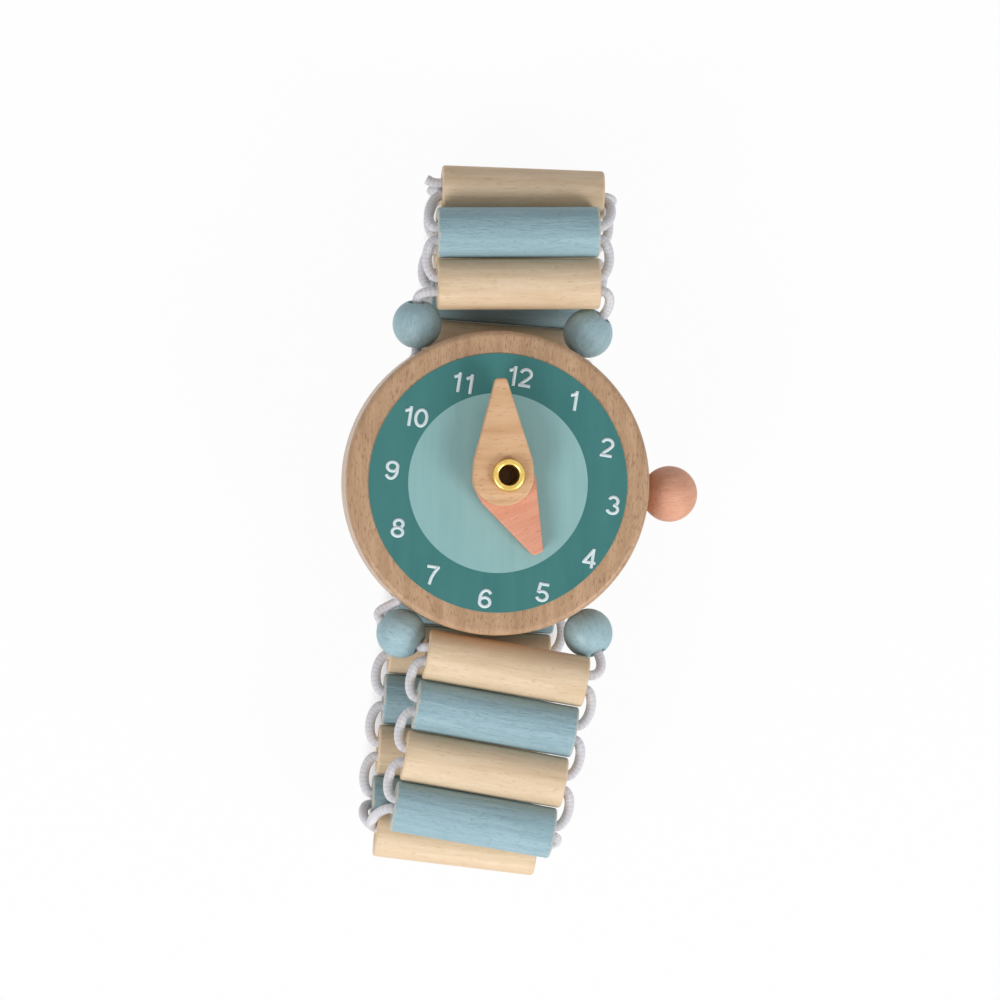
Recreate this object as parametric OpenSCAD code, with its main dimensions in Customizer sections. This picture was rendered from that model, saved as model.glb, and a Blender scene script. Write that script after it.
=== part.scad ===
// Wooden toy watch: a turned case with a printed dial and two hands, on a strap of round
// wooden slats strung on elastic cord. Millimetres. X runs to the crown, Y to the twelve,
// Z up out of the dial. The case's axis is the Z axis and the table is at Z = 0.

/* [Case] */
// Diameter of the turned wooden case
case_d = 40; // [36:0.5:44]
// Thickness of the case
case_h = 13; // [12:0.5:15]
// Rounding of the case's front and back edges
case_edge = 0.8; // [0.4:0.1:1.4]
// Height of the case's back above the slats that lie under it
rest_gap = 0.3; // [0.2:0.05:0.6]

/* [Dial] */
// Outer diameter of the dark printed ring
ring_d = 34; // [30:0.5:35]
// Diameter of the pale printed middle
middle_d = 23.6; // [20:0.2:27]
// Thickness of the printed paint
print_t = 0.12; // [0.08:0.02:0.2]

/* [Hands] */
// Sideways distance of the hands' axis from the case's axis
hand_x = 1.1; // [0:0.1:1.6]
// Distance of the hands' axis from the case's axis towards the twelve
hand_y = 1; // [0:0.1:1.6]
// Thickness of each hand
hand_t = 2; // [1.5:0.1:2.4]
// Length of the minute hand from its hole
minute_l = 12.7; // [11:0.1:13.5]
// Length of the hour hand from its hole
hour_l = 11; // [9:0.1:12]
// Radius of each hand's round end
hand_r = 4; // [3.6:0.1:4.4]
// Width of each hand's blunt tip
hand_tip = 1.5; // [1:0.1:2.2]
// Sideways distance of the minute hand's hole from the middle of its round end
minute_shift = 0.65; // [0:0.05:0.9]
// Sideways distance of the hour hand's hole from the middle of its round end
hour_shift = -0.65; // [-0.9:0.05:0]
// Heading of the minute hand, degrees clockwise from the twelve side
minute_angle = -1.5; // [-180:0.5:180]
// Heading of the hour hand, degrees clockwise from the twelve side
hour_angle = 155; // [-180:0.5:180]
// Play between stacked faces of the dial, the hands and the eyelet's rim
hand_play = 0.12; // [0.08:0.01:0.2]

/* [Eyelet] */
// Outer diameter of the brass eyelet's tube
eyelet_d = 3.4; // [3:0.1:3.8]
// Wall of the eyelet's tube
eyelet_wall = 0.35; // [0.25:0.05:0.5]
// Radius of the roll of the eyelet's rim
rim_r = 0.45; // [0.4:0.05:0.6]
// Length of tube held in the case
eyelet_hold = 6; // [5:0.2:8]
// Radial play of the hands on the tube
turn_play = 0.05; // [0.03:0.01:0.1]

/* [Crown] */
// Diameter of the crown ball
crown_d = 7.4; // [6.5:0.1:8]
// Depth of the flat turned on the ball's inner side
crown_flat = 0.6; // [0.4:0.1:1.2]
// Direction of the crown, degrees clockwise from the X axis
crown_angle = 3.5; // [0:0.5:8]
// Diameter of the crown's peg
peg_d = 2.5; // [2:0.1:3]
// Length of peg inside the case
peg_l = 5; // [4:0.2:5.6]
// Clearance past the peg's end in the case
peg_play = 0.3; // [0.2:0.05:0.5]
// Length of peg inside the ball
peg_in = 3.5; // [2.5:0.1:4]

/* [Beads] */
// Diameter of the four corner beads
bead_d = 6.5; // [6:0.1:6.6]
// Angle of each bead from the twelve to six line
bead_angle = 32; // [30:0.5:33]
// Angle of the bead at top left, which sits nearer the twelve
far_bead_angle = 26; // [25:0.5:28]
// Clearance between a bead and its neighbours
bead_gap = 0.1; // [0.08:0.01:0.2]
// Diameter of the bore in each bead
bead_bore = 2.4; // [2.3:0.1:2.6]
// Bevel at the mouths of a bead's bore
bead_edge = 0.5; // [0.45:0.05:0.6]
// Tilt of the beads' bores up towards the raised rows
bead_tilt = 13; // [12:1:14]
// Lean of the bore of the bead at top right
lean_top_right = 40; // [36:1:44]
// Lean of the bore of the bead at top left
lean_top_left = 0; // [-4:1:4]
// Lean of the bore of the bead at bottom left
lean_bottom_left = 56; // [54:1:58]
// Lean of the bore of the bead at bottom right
lean_bottom_right = 25; // [20:1:28]
// Sideways distance of the cord hole on the crown side from the case's axis
hole_right = 10.9; // [10.8:0.05:11]
// Sideways distance of the far side's cord hole from the case's axis at its upper mouth
hole_top_left = 10.4; // [10.3:0.05:10.5]
// Sideways distance of the far side's cord hole from the case's axis at its lower mouth
hole_bottom_left = 12.8; // [12.7:0.05:12.9]
// Diameter of the cord holes through the case
hole_d = 2.2; // [2:0.1:2.6]

/* [Strap] */
// Diameter of each round slat
slat_d = 6.7; // [6.4:0.05:7]
// Length of each slat
slat_l = 21.5; // [20.4:0.1:22]
// Clearance between neighbouring slats in a row
slat_gap = 0.1; // [0.08:0.01:0.2]
// Extra reach of the cord where the strap folds over
bend_reach = 0.45; // [0.4:0.05:0.7]
// Rounding of each slat's end edges
slat_edge = 0.4; // [0.2:0.05:0.6]
// Diameter of the bore along each slat
slat_bore = 3.4; // [3.3:0.05:3.6]
// Bevel at the mouths of the bores in slats and beads
mouth_edge = 0.55; // [0.5:0.05:0.7]
// Height of the rows above and below the case over the middle of the case
row_rise = 1.9; // [1.5:0.1:2.2]
// Turn of the slats in the lower row
low_angle = -4.3; // [-6:0.1:-3]
// Heading of the lower row
low_row_angle = -6.6; // [-7.5:0.1:-5]
// Turn of the slats above the case
top_angle = 0.3; // [-1:0.1:1]
// Turn of the slats below the case
bottom_angle = -10.1; // [-11:0.1:-9]
// Heading of the row below the case
bottom_row_angle = -12.3; // [-13:0.1:-11]
// Sideways place of the row above the case
top_x = 3; // [2.6:0.1:3.4]
// Sideways place of the first slat below the case
bottom_x = 1.4; // [1:0.1:1.8]
// Sideways place of the lower row under the case's axis
low_x = -0.1; // [-1:0.1:1]
// Shift of the lower row along the strap
low_shift = -2.5; // [-3:0.1:-1.8]

/* [Cord] */
// Diameter of the elastic cord
cord_d = 1.3; // [1.1:0.05:1.35]
// Distance of each cord from the middle of a slat's bore
cord_off = 0.95; // [0.9:0.01:0.98]
// Height of the cord's loops above the slats' ends
loop_h = 1.3; // [1.2:0.05:1.6]
// Depth to which a loop reaches into the next slat
loop_in = 1.2; // [1:0.1:1.6]
// Turn by which the loop that joins the strap's two halves stops short of its second slat
meet_turn = 12; // [8:1:16]
// Clearance between the cut faces of cord inside a bore
cord_cut = 0.16; // [0.12:0.01:0.2]
// Length of the cut tail at the fold above the case
tail_l = 2; // [1.5:0.1:2.6]
// Length of the tail inside its slat
tail_in = 2; // [1.5:0.1:2.4]
// Lowering of the tail in its bore, as a share of its reach out of the fold
tail_drop = 0.18; // [0.1:0.02:0.26]
// Rise of the tail's cut end
tail_rise = 0.5; // [0.2:0.1:0.8]
// Reach of the cord straight out of a bead towards its slat
pull_out = 1.7; // [1.6:0.1:2.2]
// Reach of the cord out of the bead at top left towards its slat
pull_far = 1; // [0.8:0.1:1.2]
// Reach of the cord out of the bead at bottom left, which sits against its slat
pull_near = 0.25; // [0.2:0.05:0.4]
// Reach of the cord out of that bead towards the case
pull_back = 3.1; // [3:0.1:3.3]
// Reach of that cord straight out of the case
pull_case = 0.85; // [0.75:0.05:0.95]
// Depth at which the cord straightens inside a bead
bead_in = 0.6; // [0.4:0.1:0.8]
// Depth at which the cord straightens inside the case
case_in = 2; // [1.5:0.1:2.5]

/* [Hidden] */
$fa = 4;
$fs = 0.15;

// Slats are numbered round the loop, from the one above the case to the one below it.
slat_n = 21;
last_top = 10;
first_low = 4;
last_low = 16;
function pad(k) = str(k < 10 ? "0" : "", k);
slat_names = [for (k = [1 : slat_n]) str("slat_", pad(k))];
cord_names = [for (k = [1 : slat_n]) str("cord_", pad(k))];
bead_names = ["bead_top_right", "bead_top_left", "bead_bottom_left", "bead_bottom_right"];
case_names = ["case", "dial_ring", "dial_middle", "hour_hand", "minute_hand", "hand_eyelet",
    "crown_ball", "crown_peg", "cord_through_case"];

beech = [0.82, 0.66, 0.48];
natural = [0.90, 0.82, 0.68];
blue = [0.42, 0.58, 0.66];
dark_teal = [0.20, 0.47, 0.45];
pale_teal = [0.52, 0.72, 0.70];
coral = [0.87, 0.60, 0.48];
brass = [0.80, 0.66, 0.32];
white = [0.93, 0.93, 0.95];

case_r = case_d / 2;
slat_r = slat_d / 2;
back_z = slat_d + rest_gap;
mid_z = back_z + case_h / 2;
face_z = back_z + case_h;
hour_z = face_z + print_t + hand_play;
minute_z = hour_z + hand_t + hand_play;
rim_z = minute_z + hand_t + hand_play;
rim_h = 2 * rim_r;
eyelet_bore = eyelet_d - 2 * eyelet_wall;
cord_r = cord_d / 2;
pitch = slat_d + slat_gap;
fold = pitch + bend_reach;

// Bead centres and the directions of their bores
bead_reach = case_r + bead_d / 2 + bead_gap;
bead_x = bead_reach * sin(bead_angle);
bead_y = bead_reach * cos(bead_angle);
far_bead = [-bead_reach * sin(far_bead_angle), bead_reach * cos(far_bead_angle), mid_z];
function bead_at(right, up) = right < 0 && up > 0 ? far_bead : [right * bead_x, up * bead_y, mid_z];
function hole_at(right, up) = right > 0 ? hole_right : up > 0 ? -hole_top_left : -hole_bottom_left;
function hole_mouth(right, up) =
    let (x = hole_at(right, up))
    [x, up * sqrt(case_r * case_r - x * x), mid_z];
function hole_way(right) = unit(hole_mouth(right, 1) - hole_mouth(right, -1));
function bead_axis(right, up) =
    let (lean = right > 0 ? (up > 0 ? lean_top_right : lean_bottom_right)
        : (up > 0 ? lean_top_left : lean_bottom_left))
    [sin(lean) * cos(bead_tilt), up * cos(lean) * cos(bead_tilt), sin(bead_tilt)];

// Rows of slats
function unit(v) = v / norm(v);
function along(turn) = [cos(turn), sin(turn), 0];
function across(turn) = [-sin(turn), cos(turn), 0];
clear_bead = bead_d / 2 + slat_r + bead_gap;
clear_plan = sqrt(clear_bead * clear_bead - row_rise * row_rise);
row_z = mid_z + row_rise;
first_top = [top_x, bead_y + clear_plan, row_z];
// The row below the case clears the bead on the crown side, measured square to the slats.
first_bottom = [bottom_x,
    -bead_y - clear_plan / cos(bottom_angle)
        - (bead_x - bottom_x) * tan(bottom_angle), row_z];
low_mid = [low_x, 0, slat_r] + across(low_row_angle) * low_shift;
low_half = (last_low - first_low) / 2;

// Middle of a slat in one of the three straight rows
function row_at(k) =
    k < first_low - 1 ? first_top + across(top_angle) * pitch * (k - 1)
    : k > last_low + 1 ? first_bottom - across(bottom_row_angle) * pitch * (slat_n - k)
    : low_mid + across(low_row_angle) * pitch * (first_low + low_half - k);

// Middle of a slat at a fold, one reach of cord from both its neighbours
function fold_at(k, out) =
    let (a = row_at(k - 1), b = row_at(k + 1), d = unit(b - a))
    (a + b) / 2 + unit(out - d * (out * d)) * sqrt(fold * fold - (b - a) * (b - a) / 4);

function slat_at(k) =
    k == first_low - 1 ? fold_at(k, across(low_row_angle))
    : k == last_low + 1 ? fold_at(k, -across(bottom_row_angle))
    : row_at(k);

function slat_turn(k) =
    k < first_low - 1 ? top_angle
    : k == first_low - 1 ? (top_angle + low_angle) / 2
    : k <= last_low ? low_angle
    : k == last_low + 1 ? (low_angle + bottom_angle) / 2
    : bottom_angle;

// A chain of slats hangs from each end of the case, and the two meet under its middle.
function next_of(k) = k <= last_top ? k + 1 : k - 1;
function prev_of(k) = k <= last_top ? k - 1 : k + 1;
function square_to(v, e) = unit(v - e * (v * e));
function toward(k, j) =
    let (e = along(slat_turn(k)))
    j < 1 ? square_to([0, -1, 0], e)
    : j > slat_n ? square_to([0, 1, 0], e)
    : square_to(slat_at(j) - slat_at(k), e);

// End of a slat on the crown side (1) or the far side (-1)
function slat_end(k, side) = slat_at(k) + along(slat_turn(k)) * side * slat_l / 2;
// Where a cord crosses a slat's end on its way to slat j
function mouth(k, j, side) = slat_end(k, side) + toward(k, j) * cord_off;

// Loop of cord outside two neighbouring slats, half an ellipse from one mouth to the other
loop_steps = 7;
function loop_path(k, side) =
    let (j = next_of(k), a = mouth(k, j, side), b = mouth(j, k, side),
        out = unit(along(slat_turn(k)) + along(slat_turn(j))) * side)
    [for (i = [0 : loop_steps])
        let (t = (k == last_top ? 180 - meet_turn : 180) * i / loop_steps)
        (a + b) / 2 + (a - b) / 2 * cos(t) + out * loop_h * sin(t)];

// Cord through a slat's bore, which crosses from the side it came in on to the side it leaves by
bore_steps = 4;
function bore_path(k, side) =
    let (e = along(slat_turn(k)), f = toward(k, prev_of(k)), g = cross(e, f),
        to = k == last_top + 1 ? toward(k, last_top) : toward(k, next_of(k)),
        turn = atan2(to * g, to * f),
        sweep = side > 0 ? (turn > 0 ? turn : turn + 360) : (turn > 0 ? turn - 360 : turn),
        start = -slat_l / 2 + loop_in + cord_cut,
        stop = k == last_top + 1 ? -start : slat_l / 2 - cord_cut)
    [for (i = [0 : bore_steps])
        let (u = i / bore_steps, w = sweep * u)
        slat_at(k) + e * side * (start + (stop - start) * u)
            + (f * cos(w) + g * sin(w)) * cord_off];

function strand_path(k, side) =
    k == last_top + 1 ? bore_path(k, side)
    : k == last_top ? concat(bore_path(k, side), loop_path(k, side))
    : let (j = next_of(k), into = along(slat_turn(j)) * side * loop_in)
      concat(bore_path(k, side), loop_path(k, side), [mouth(j, k, side) - into]);

// Cord from the first slat above the case, through two beads and the case, to the first below
function bez(a, b, c, d, t) =
    a * pow(1 - t, 3) + b * 3 * t * pow(1 - t, 2) + c * 3 * t * t * (1 - t) + d * pow(t, 3);
bez_steps = 6;
bead_flat = sqrt(bead_d * bead_d - bead_bore * bead_bore);
function half_cord(right, up) =
    let (k = up > 0 ? 1 : slat_n, e = along(slat_turn(k)) * right,
        m = mouth(k, up > 0 ? 0 : slat_n + 1, right),
        c = bead_at(right, up), ax = bead_axis(right, up),
        pull = right > 0 ? pull_out : up > 0 ? pull_far : pull_near,
        outer = c + ax * bead_d / 2, inner = c - ax * (bead_d / 2 - bead_in),
        hole = hole_mouth(right, up), way = unit(hole_mouth(right, -up) - hole))
    concat([m - e * loop_in],
        [for (i = [0 : bez_steps])
            bez(m, m + e * pull, outer + ax * pull, outer, i / bez_steps)],
        right < 0 && up < 0 ? [for (i = [0 : bez_steps])
            bez(inner, inner - ax * pull_back, hole - way * pull_case, hole, i / bez_steps)]
        : [inner], [hole + way * case_in]);
function reversed(list) = [for (i = [len(list) - 1 : -1 : 0]) list[i]];
function through_path(right) = concat(half_cord(right, 1), reversed(half_cord(right, -1)));

// Cut tail of the cord, out of the far end of the slat at the upper fold
tail_k = first_low - 1;
tail_side = -1;
function tail_path() =
    let (e = along(slat_turn(tail_k)) * tail_side,
        out = square_to([0, 1, -tail_drop], e),
        m = slat_end(tail_k, tail_side) + out * cord_off)
    [m - e * tail_in, m, m + e * tail_l * 0.6 + out * tail_rise * 0.2, m + e * tail_l + out * tail_rise];

// Round cord along a path
cord_sides = 8;
module cord(path, normal) {
    n = len(path);
    rings = [for (i = [0 : n - 1])
        let (t = unit(path[min(i + 1, n - 1)] - path[max(i - 1, 0)]),
            w = unit(normal - t * (normal * t)), u = cross(t, w))
        for (s = [0 : cord_sides - 1])
            path[i] + (w * cos(360 * s / cord_sides) + u * sin(360 * s / cord_sides)) * cord_r];
    skin = [for (i = [0 : n - 2], s = [0 : cord_sides - 1])
        let (a = i * cord_sides + s, b = i * cord_sides + (s + 1) % cord_sides)
        [a, a + cord_sides, b + cord_sides, b]];
    ends = [[for (s = [0 : cord_sides - 1]) s],
        [for (s = [cord_sides - 1 : -1 : 0]) (n - 1) * cord_sides + s]];
    polyhedron(points = rings, faces = concat(skin, ends), convexity = 6);
}

// Direction square to a slat's loop, used to lay out its rings
function loop_normal(k) =
    let (j = k == last_top + 1 ? last_top : next_of(k))
    unit(cross(along(slat_turn(k)), slat_at(j) - slat_at(k)));

module place_on(origin, direction) {
    translate(origin)
        rotate([0, 0, atan2(direction[1], direction[0])])
            rotate([0, acos(direction[2] / norm(direction)), 0])
                children();
}

module slat(k) {
    color(k % 2 == 1 ? natural : blue)
        place_on(slat_at(k), along(slat_turn(k)))
            difference() {
                rotate_extrude()
                    rounded_bar(slat_r, slat_l, slat_edge);
                bevelled_bore(slat_bore, slat_l, mouth_edge);
            }
}

// Bore of length l about its middle, opened out by a bevel at both mouths
module bevelled_bore(d, l, edge) {
    cylinder(d = d, h = l + d, center = true);
    for (end = [-1, 1])
        scale([1, 1, end])
            translate([0, 0, l / 2 - edge])
                cylinder(r1 = d / 2, r2 = d / 2 + 2 * edge, h = 2 * edge);
}

// Half section of a bar with rounded end edges, about its middle
edge_steps = 6;
module rounded_bar(r, l, edge) {
    corner = [for (i = [0 : edge_steps])
        let (t = 90 * i / edge_steps)
        [r - edge + edge * cos(t), l / 2 - edge + edge * sin(t)]];
    foot = [for (p = reversed(corner)) [p[0], -p[1]]];
    polygon(concat([[0, -l / 2]], foot, corner, [[0, l / 2]]));
}

module slat_cord(k) {
    color(white) {
        for (side = [-1, 1])
            cord(strand_path(k, side), loop_normal(k));
        if (k == tail_k)
            cord(tail_path(), [0, 0, 1]);
    }
}

module cord_through_case() {
    color(white)
        for (right = [-1, 1])
            cord(through_path(right), [0, 0, 1]);
}

module bead(right, up) {
    color(blue)
        difference() {
            translate(bead_at(right, up))
                sphere(d = bead_d);
            place_on(bead_at(right, up), bead_axis(right, up))
                bevelled_bore(bead_bore, bead_flat, bead_edge);
        }
}

crown_way = along(-crown_angle);
module case() {
    color(beech)
        difference() {
            translate([0, 0, mid_z])
                rotate_extrude()
                    rounded_bar(case_r, case_h, case_edge);
            for (right = [-1, 1])
                place_on(hole_mouth(right, -1) - hole_way(right) * case_r, hole_way(right))
                    cylinder(d = hole_d, h = 2 * case_d);
            translate([hand_x, hand_y, face_z - eyelet_hold])
                cylinder(d = eyelet_d, h = eyelet_hold + 1);
            place_on([0, 0, mid_z] + crown_way * (case_r - peg_l - peg_play), crown_way)
                cylinder(d = peg_d + 2 * turn_play, h = peg_l + 2);
        }
}

module dial_ring() {
    color(dark_teal)
        translate([0, 0, face_z])
            difference() {
                cylinder(d = ring_d, h = print_t);
                translate([0, 0, -1])
                    cylinder(d = middle_d, h = print_t + 2);
            }
}

module dial_middle() {
    color(pale_teal)
        difference() {
            translate([0, 0, face_z])
                cylinder(d = middle_d, h = print_t);
            translate([hand_x, hand_y, face_z - 1])
                cylinder(d = eyelet_d, h = print_t + 2);
        }
}

// Hand with its hole at the origin, pointing along Y
module hand(l, shift) {
    half = [[hand_r * cos(10), -hand_r * sin(10)], [hand_r * 0.995, hand_r * 0.1],
        [hand_r * 0.96, hand_r * 0.5], [hand_tip / 2, l]];
    difference() {
        union() {
            translate([-shift, 0, 0])
                cylinder(r = hand_r, h = hand_t);
            translate([-shift, 0, 0])
                linear_extrude(height = hand_t)
                    polygon(concat(half, [for (p = reversed(half)) [-p[0], p[1]]]));
        }
        translate([0, 0, -1])
            cylinder(d = eyelet_d + 2 * turn_play, h = hand_t + 2);
    }
}

module hour_hand() {
    color(coral)
        translate([hand_x, hand_y, hour_z])
            rotate([0, 0, -hour_angle])
                hand(hour_l, hour_shift);
}

module minute_hand() {
    color(natural)
        translate([hand_x, hand_y, minute_z])
            rotate([0, 0, -minute_angle])
                hand(minute_l, minute_shift);
}

// Tube with a rolled rim at its upper end
module hand_eyelet() {
    color(brass)
        translate([hand_x, hand_y, 0])
            difference() {
                union() {
                    translate([0, 0, face_z - eyelet_hold])
                        cylinder(d = eyelet_d, h = rim_z + rim_r - face_z + eyelet_hold);
                    translate([0, 0, rim_z + rim_r])
                        rotate_extrude()
                            translate([eyelet_d / 2, 0])
                                circle(r = rim_r);
                }
                translate([0, 0, face_z - eyelet_hold - 1])
                    cylinder(d = eyelet_bore, h = rim_z + rim_h - face_z + eyelet_hold + 2);
            }
}

crown_at = [0, 0, mid_z] + crown_way * (case_r + bead_gap + crown_d / 2 - crown_flat);
module crown_ball() {
    color(coral)
        difference() {
            translate(crown_at)
                sphere(d = crown_d);
            place_on([0, 0, mid_z] + crown_way * (case_r + bead_gap - crown_d), crown_way)
                cylinder(d = 2 * crown_d, h = crown_d);
            place_on([0, 0, mid_z] + crown_way * case_r, crown_way)
                cylinder(d = peg_d, h = peg_in + bead_gap);
        }
}

module crown_peg() {
    color(natural)
        place_on([0, 0, mid_z] + crown_way * (case_r - peg_l), crown_way)
            cylinder(d = peg_d, h = peg_l + bead_gap + peg_in);
}

case();
dial_ring();
dial_middle();
hour_hand();
minute_hand();
hand_eyelet();
crown_ball();
crown_peg();
cord_through_case();
bead(1, 1);  // bead_top_right
bead(-1, 1);  // bead_top_left
bead(-1, -1);  // bead_bottom_left
bead(1, -1);  // bead_bottom_right
for (k = [1 : slat_n]) slat(k);
for (k = [1 : slat_n]) slat_cord(k);
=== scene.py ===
"""Finishes, fine pieces and studio for a wooden toy watch on a strap of slats.

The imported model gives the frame. This script dresses its nodes, replaces the slats, cords,
beads, hands and eyelet with finer pieces on the same sizes, prints the dial's numbers and
sets up the light and the camera.
"""
import logging
import math
from dataclasses import dataclass, field
from enum import Enum
from typing import Any, Dict, Iterable, List, Mapping, Optional, Sequence, Tuple, Union

import bmesh
import bpy
import numpy as np
from bpy.types import Curve, Material, Mesh, Node, NodeSocket, NodeTree, Object
from mathutils import Matrix, Vector


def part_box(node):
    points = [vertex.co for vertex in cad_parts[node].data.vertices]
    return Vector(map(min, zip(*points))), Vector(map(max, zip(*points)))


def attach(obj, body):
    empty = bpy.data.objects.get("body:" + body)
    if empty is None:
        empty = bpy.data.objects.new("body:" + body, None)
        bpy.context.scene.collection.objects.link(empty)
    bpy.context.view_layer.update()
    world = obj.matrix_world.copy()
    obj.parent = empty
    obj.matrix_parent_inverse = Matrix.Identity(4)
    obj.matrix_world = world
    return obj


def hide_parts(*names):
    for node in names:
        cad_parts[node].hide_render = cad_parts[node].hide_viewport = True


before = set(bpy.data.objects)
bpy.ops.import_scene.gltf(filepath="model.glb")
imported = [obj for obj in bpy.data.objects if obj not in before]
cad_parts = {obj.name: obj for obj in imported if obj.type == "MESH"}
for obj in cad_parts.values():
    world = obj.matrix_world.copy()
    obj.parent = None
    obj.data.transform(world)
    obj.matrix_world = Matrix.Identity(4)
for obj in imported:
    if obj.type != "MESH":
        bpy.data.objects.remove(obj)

LOG = logging.getLogger("toy_watch")
MM = 0.001
SAME_POINT = 1e-7  # in metres
Colour = Tuple[float, float, float]
Flat = Tuple[float, float]
Inputs = Optional[Mapping[Union[str, int], Any]]
Outputs = Mapping[str, NodeSocket]


def srgb(red: int, green: int, blue: int) -> Colour:
    """Turn a display colour into a linear one.

    Args:
        red: Red from 0 to 255.
        green: Green from 0 to 255.
        blue: Blue from 0 to 255.

    Returns:
        The three linear channels from 0 to 1.
    """
    def linear(level: int) -> float:
        """Give one channel's linear value."""
        share = level / 255
        return share / 12.92 if share <= 0.04045 else ((share + 0.055) / 1.055) ** 2.4

    return linear(red), linear(green), linear(blue)


class Grain(Enum):
    """Where a wood pattern takes its coordinates from."""

    PIECE = "grain"
    ALONG_X = (0.0, 0.0, 0.0)
    ALONG_Y = (0.0, 0.0, math.radians(90))


class Row(Enum):
    """Rows of slats, with the turn of their slats in degrees."""

    TOP = 0.3
    TOP_FOLD = -2.0
    LOWER = -4.3
    BOTTOM_FOLD = -7.2
    BOTTOM = -10.1


class Tree:
    """A node tree with short ways to add nodes and join them."""

    MIX_SHARE, MIX_FIRST, MIX_SECOND, MIX_RESULT = 0, 6, 7, 2

    def __init__(self, tree: NodeTree) -> None:
        """Keep the tree to build in."""
        self.tree = tree

    def node(self, kind: str, inputs: Inputs = None, **settings: Any) -> Node:
        """Add a node, set its properties and feed its inputs.

        Args:
            kind: The node's type name.
            inputs: Sockets to link or values to set, by socket name or index.
            settings: Properties of the node.

        Returns:
            The new node.
        """
        made = self.tree.nodes.new(kind)
        for name, value in settings.items():
            setattr(made, name, value)
        for key, value in (inputs or {}).items():
            self.feed(made.inputs[key], value)
        return made

    def out(self, kind: str, inputs: Inputs = None, **settings: Any) -> NodeSocket:
        """Add a node in the same way and return its first output."""
        return self.node(kind, inputs, **settings).outputs[0]

    def feed(self, socket: NodeSocket, value: Any) -> None:
        """Link a socket to another, or set its value.

        Args:
            socket: The input to feed.
            value: An output to link, or a plain value. A colour may leave out its alpha.
        """
        if isinstance(value, NodeSocket):
            self.tree.links.new(value, socket)
        else:
            plain_colour = socket.type == "RGBA" and len(value) == 3
            socket.default_value = (*value, 1.0) if plain_colour else value

    def math(self, operation: str, *values: Any) -> NodeSocket:
        """Add a Math node on the given values and return its result."""
        return self.out("ShaderNodeMath", dict(enumerate(values)), operation=operation)

    def times(self, first: Any, second: Any) -> NodeSocket:
        """Multiply two values."""
        return self.math("MULTIPLY", first, second)

    def vector(self, operation: str, *values: Any) -> NodeSocket:
        """Add a Vector Math node on the given values and return its result."""
        return self.out("ShaderNodeVectorMath", dict(enumerate(values)), operation=operation)

    def scaled(self, vector: Any, factor: Any) -> NodeSocket:
        """Scale a vector."""
        return self.out("ShaderNodeVectorMath", {0: vector, "Scale": factor}, operation="SCALE")

    def mix(self, share: Any, first: Any, second: Any) -> NodeSocket:
        """Mix two colours by a share and return the result."""
        inputs = {self.MIX_SHARE: share, self.MIX_FIRST: first, self.MIX_SECOND: second}
        return self.node("ShaderNodeMix", inputs, data_type="RGBA").outputs[self.MIX_RESULT]

    def ranged(self, value: Any, low: float, high: float, to_low: float = 0.0,
               to_high: float = 1.0) -> NodeSocket:
        """Map a value from one range to another, held at its ends.

        Args:
            value: The socket to map.
            low: Start of the range it comes from.
            high: End of the range it comes from.
            to_low: Start of the range it goes to.
            to_high: End of the range it goes to.

        Returns:
            The mapped value.
        """
        return self.out("ShaderNodeMapRange", {0: value, 1: low, 2: high, 3: to_low, 4: to_high})

    def noise(self, vector: Any, scale: Any, detail: float, rough: float) -> NodeSocket:
        """Add a noise texture.

        Args:
            vector: Coordinates of the pattern.
            scale: Patches per unit of the coordinates.
            detail: Octaves of finer noise.
            rough: Share of the finer noise.

        Returns:
            The noise from 0 to 1.
        """
        return self.out("ShaderNodeTexNoise",
                        {"Vector": vector, "Scale": scale, "Detail": detail, "Roughness": rough})


class Group(Tree):
    """A node group with named inputs and outputs."""

    def __init__(self, name: str, kind: str, takes: Mapping[str, Union[str, float]], gives: Sequence[str],
                 given_kind: str = "Float") -> None:
        """Make the group with its sockets.

        Args:
            name: The group's name.
            kind: The node tree's type name.
            takes: Inputs by name, each with its kind or with the number that it starts from.
            gives: Names of the outputs.
            given_kind: Kind of the outputs.
        """
        super().__init__(bpy.data.node_groups.new(name, kind))
        for way, ports in (("INPUT", takes), ("OUTPUT", dict.fromkeys(gives, given_kind))):
            for port, start in ports.items():
                named = isinstance(start, str)
                socket = self.tree.interface.new_socket(
                    name=port, in_out=way, socket_type=f"NodeSocket{start if named else 'Float'}")
                if not named:
                    socket.default_value = start
        self.given = self.node("NodeGroupInput").outputs
        self.end = self.node("NodeGroupOutput").inputs

    def give(self, **sockets: NodeSocket) -> None:
        """Feed the group's outputs by name."""
        for name, socket in sockets.items():
            self.feed(self.end[name], socket)


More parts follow.
